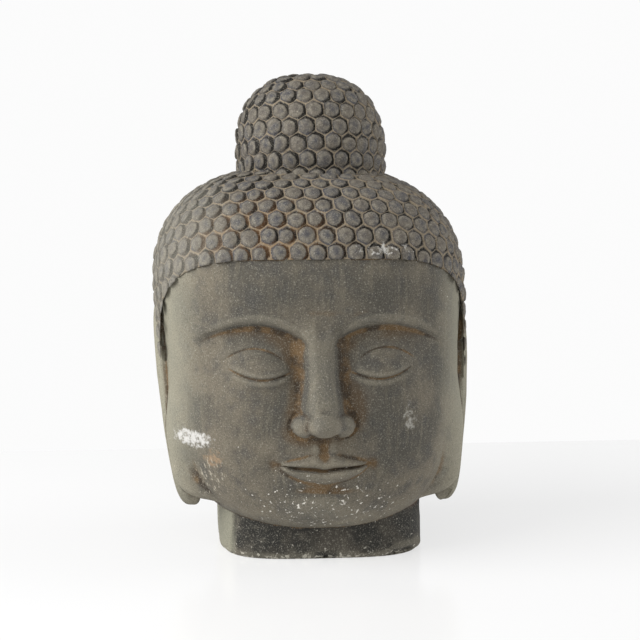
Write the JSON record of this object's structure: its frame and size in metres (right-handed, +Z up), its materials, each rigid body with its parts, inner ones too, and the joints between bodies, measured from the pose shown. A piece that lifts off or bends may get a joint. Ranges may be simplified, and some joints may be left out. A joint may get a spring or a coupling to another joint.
{
  "type": "stone buddha head",
  "caption": "Carved stone Buddha head with rows of round curls, a topknot, long ears and a calm face, cut off flat below a short neck.",
  "frame": {"origin": "on the flat underside of the neck, below the middle of the head", "axes": "+Z up, -Y the way the face looks, +X the head's left ear"},
  "size_m": [0.2606, 0.2609, 0.392],
  "materials": {
    "stone": "hand-carved grey-green stone, matte, with brown and ochre dirt in the hollows, pale scuffs and chips"
  },
  "bodies": {
    "root": {"stone_head": "stone"}
  },
  "joints": []
}
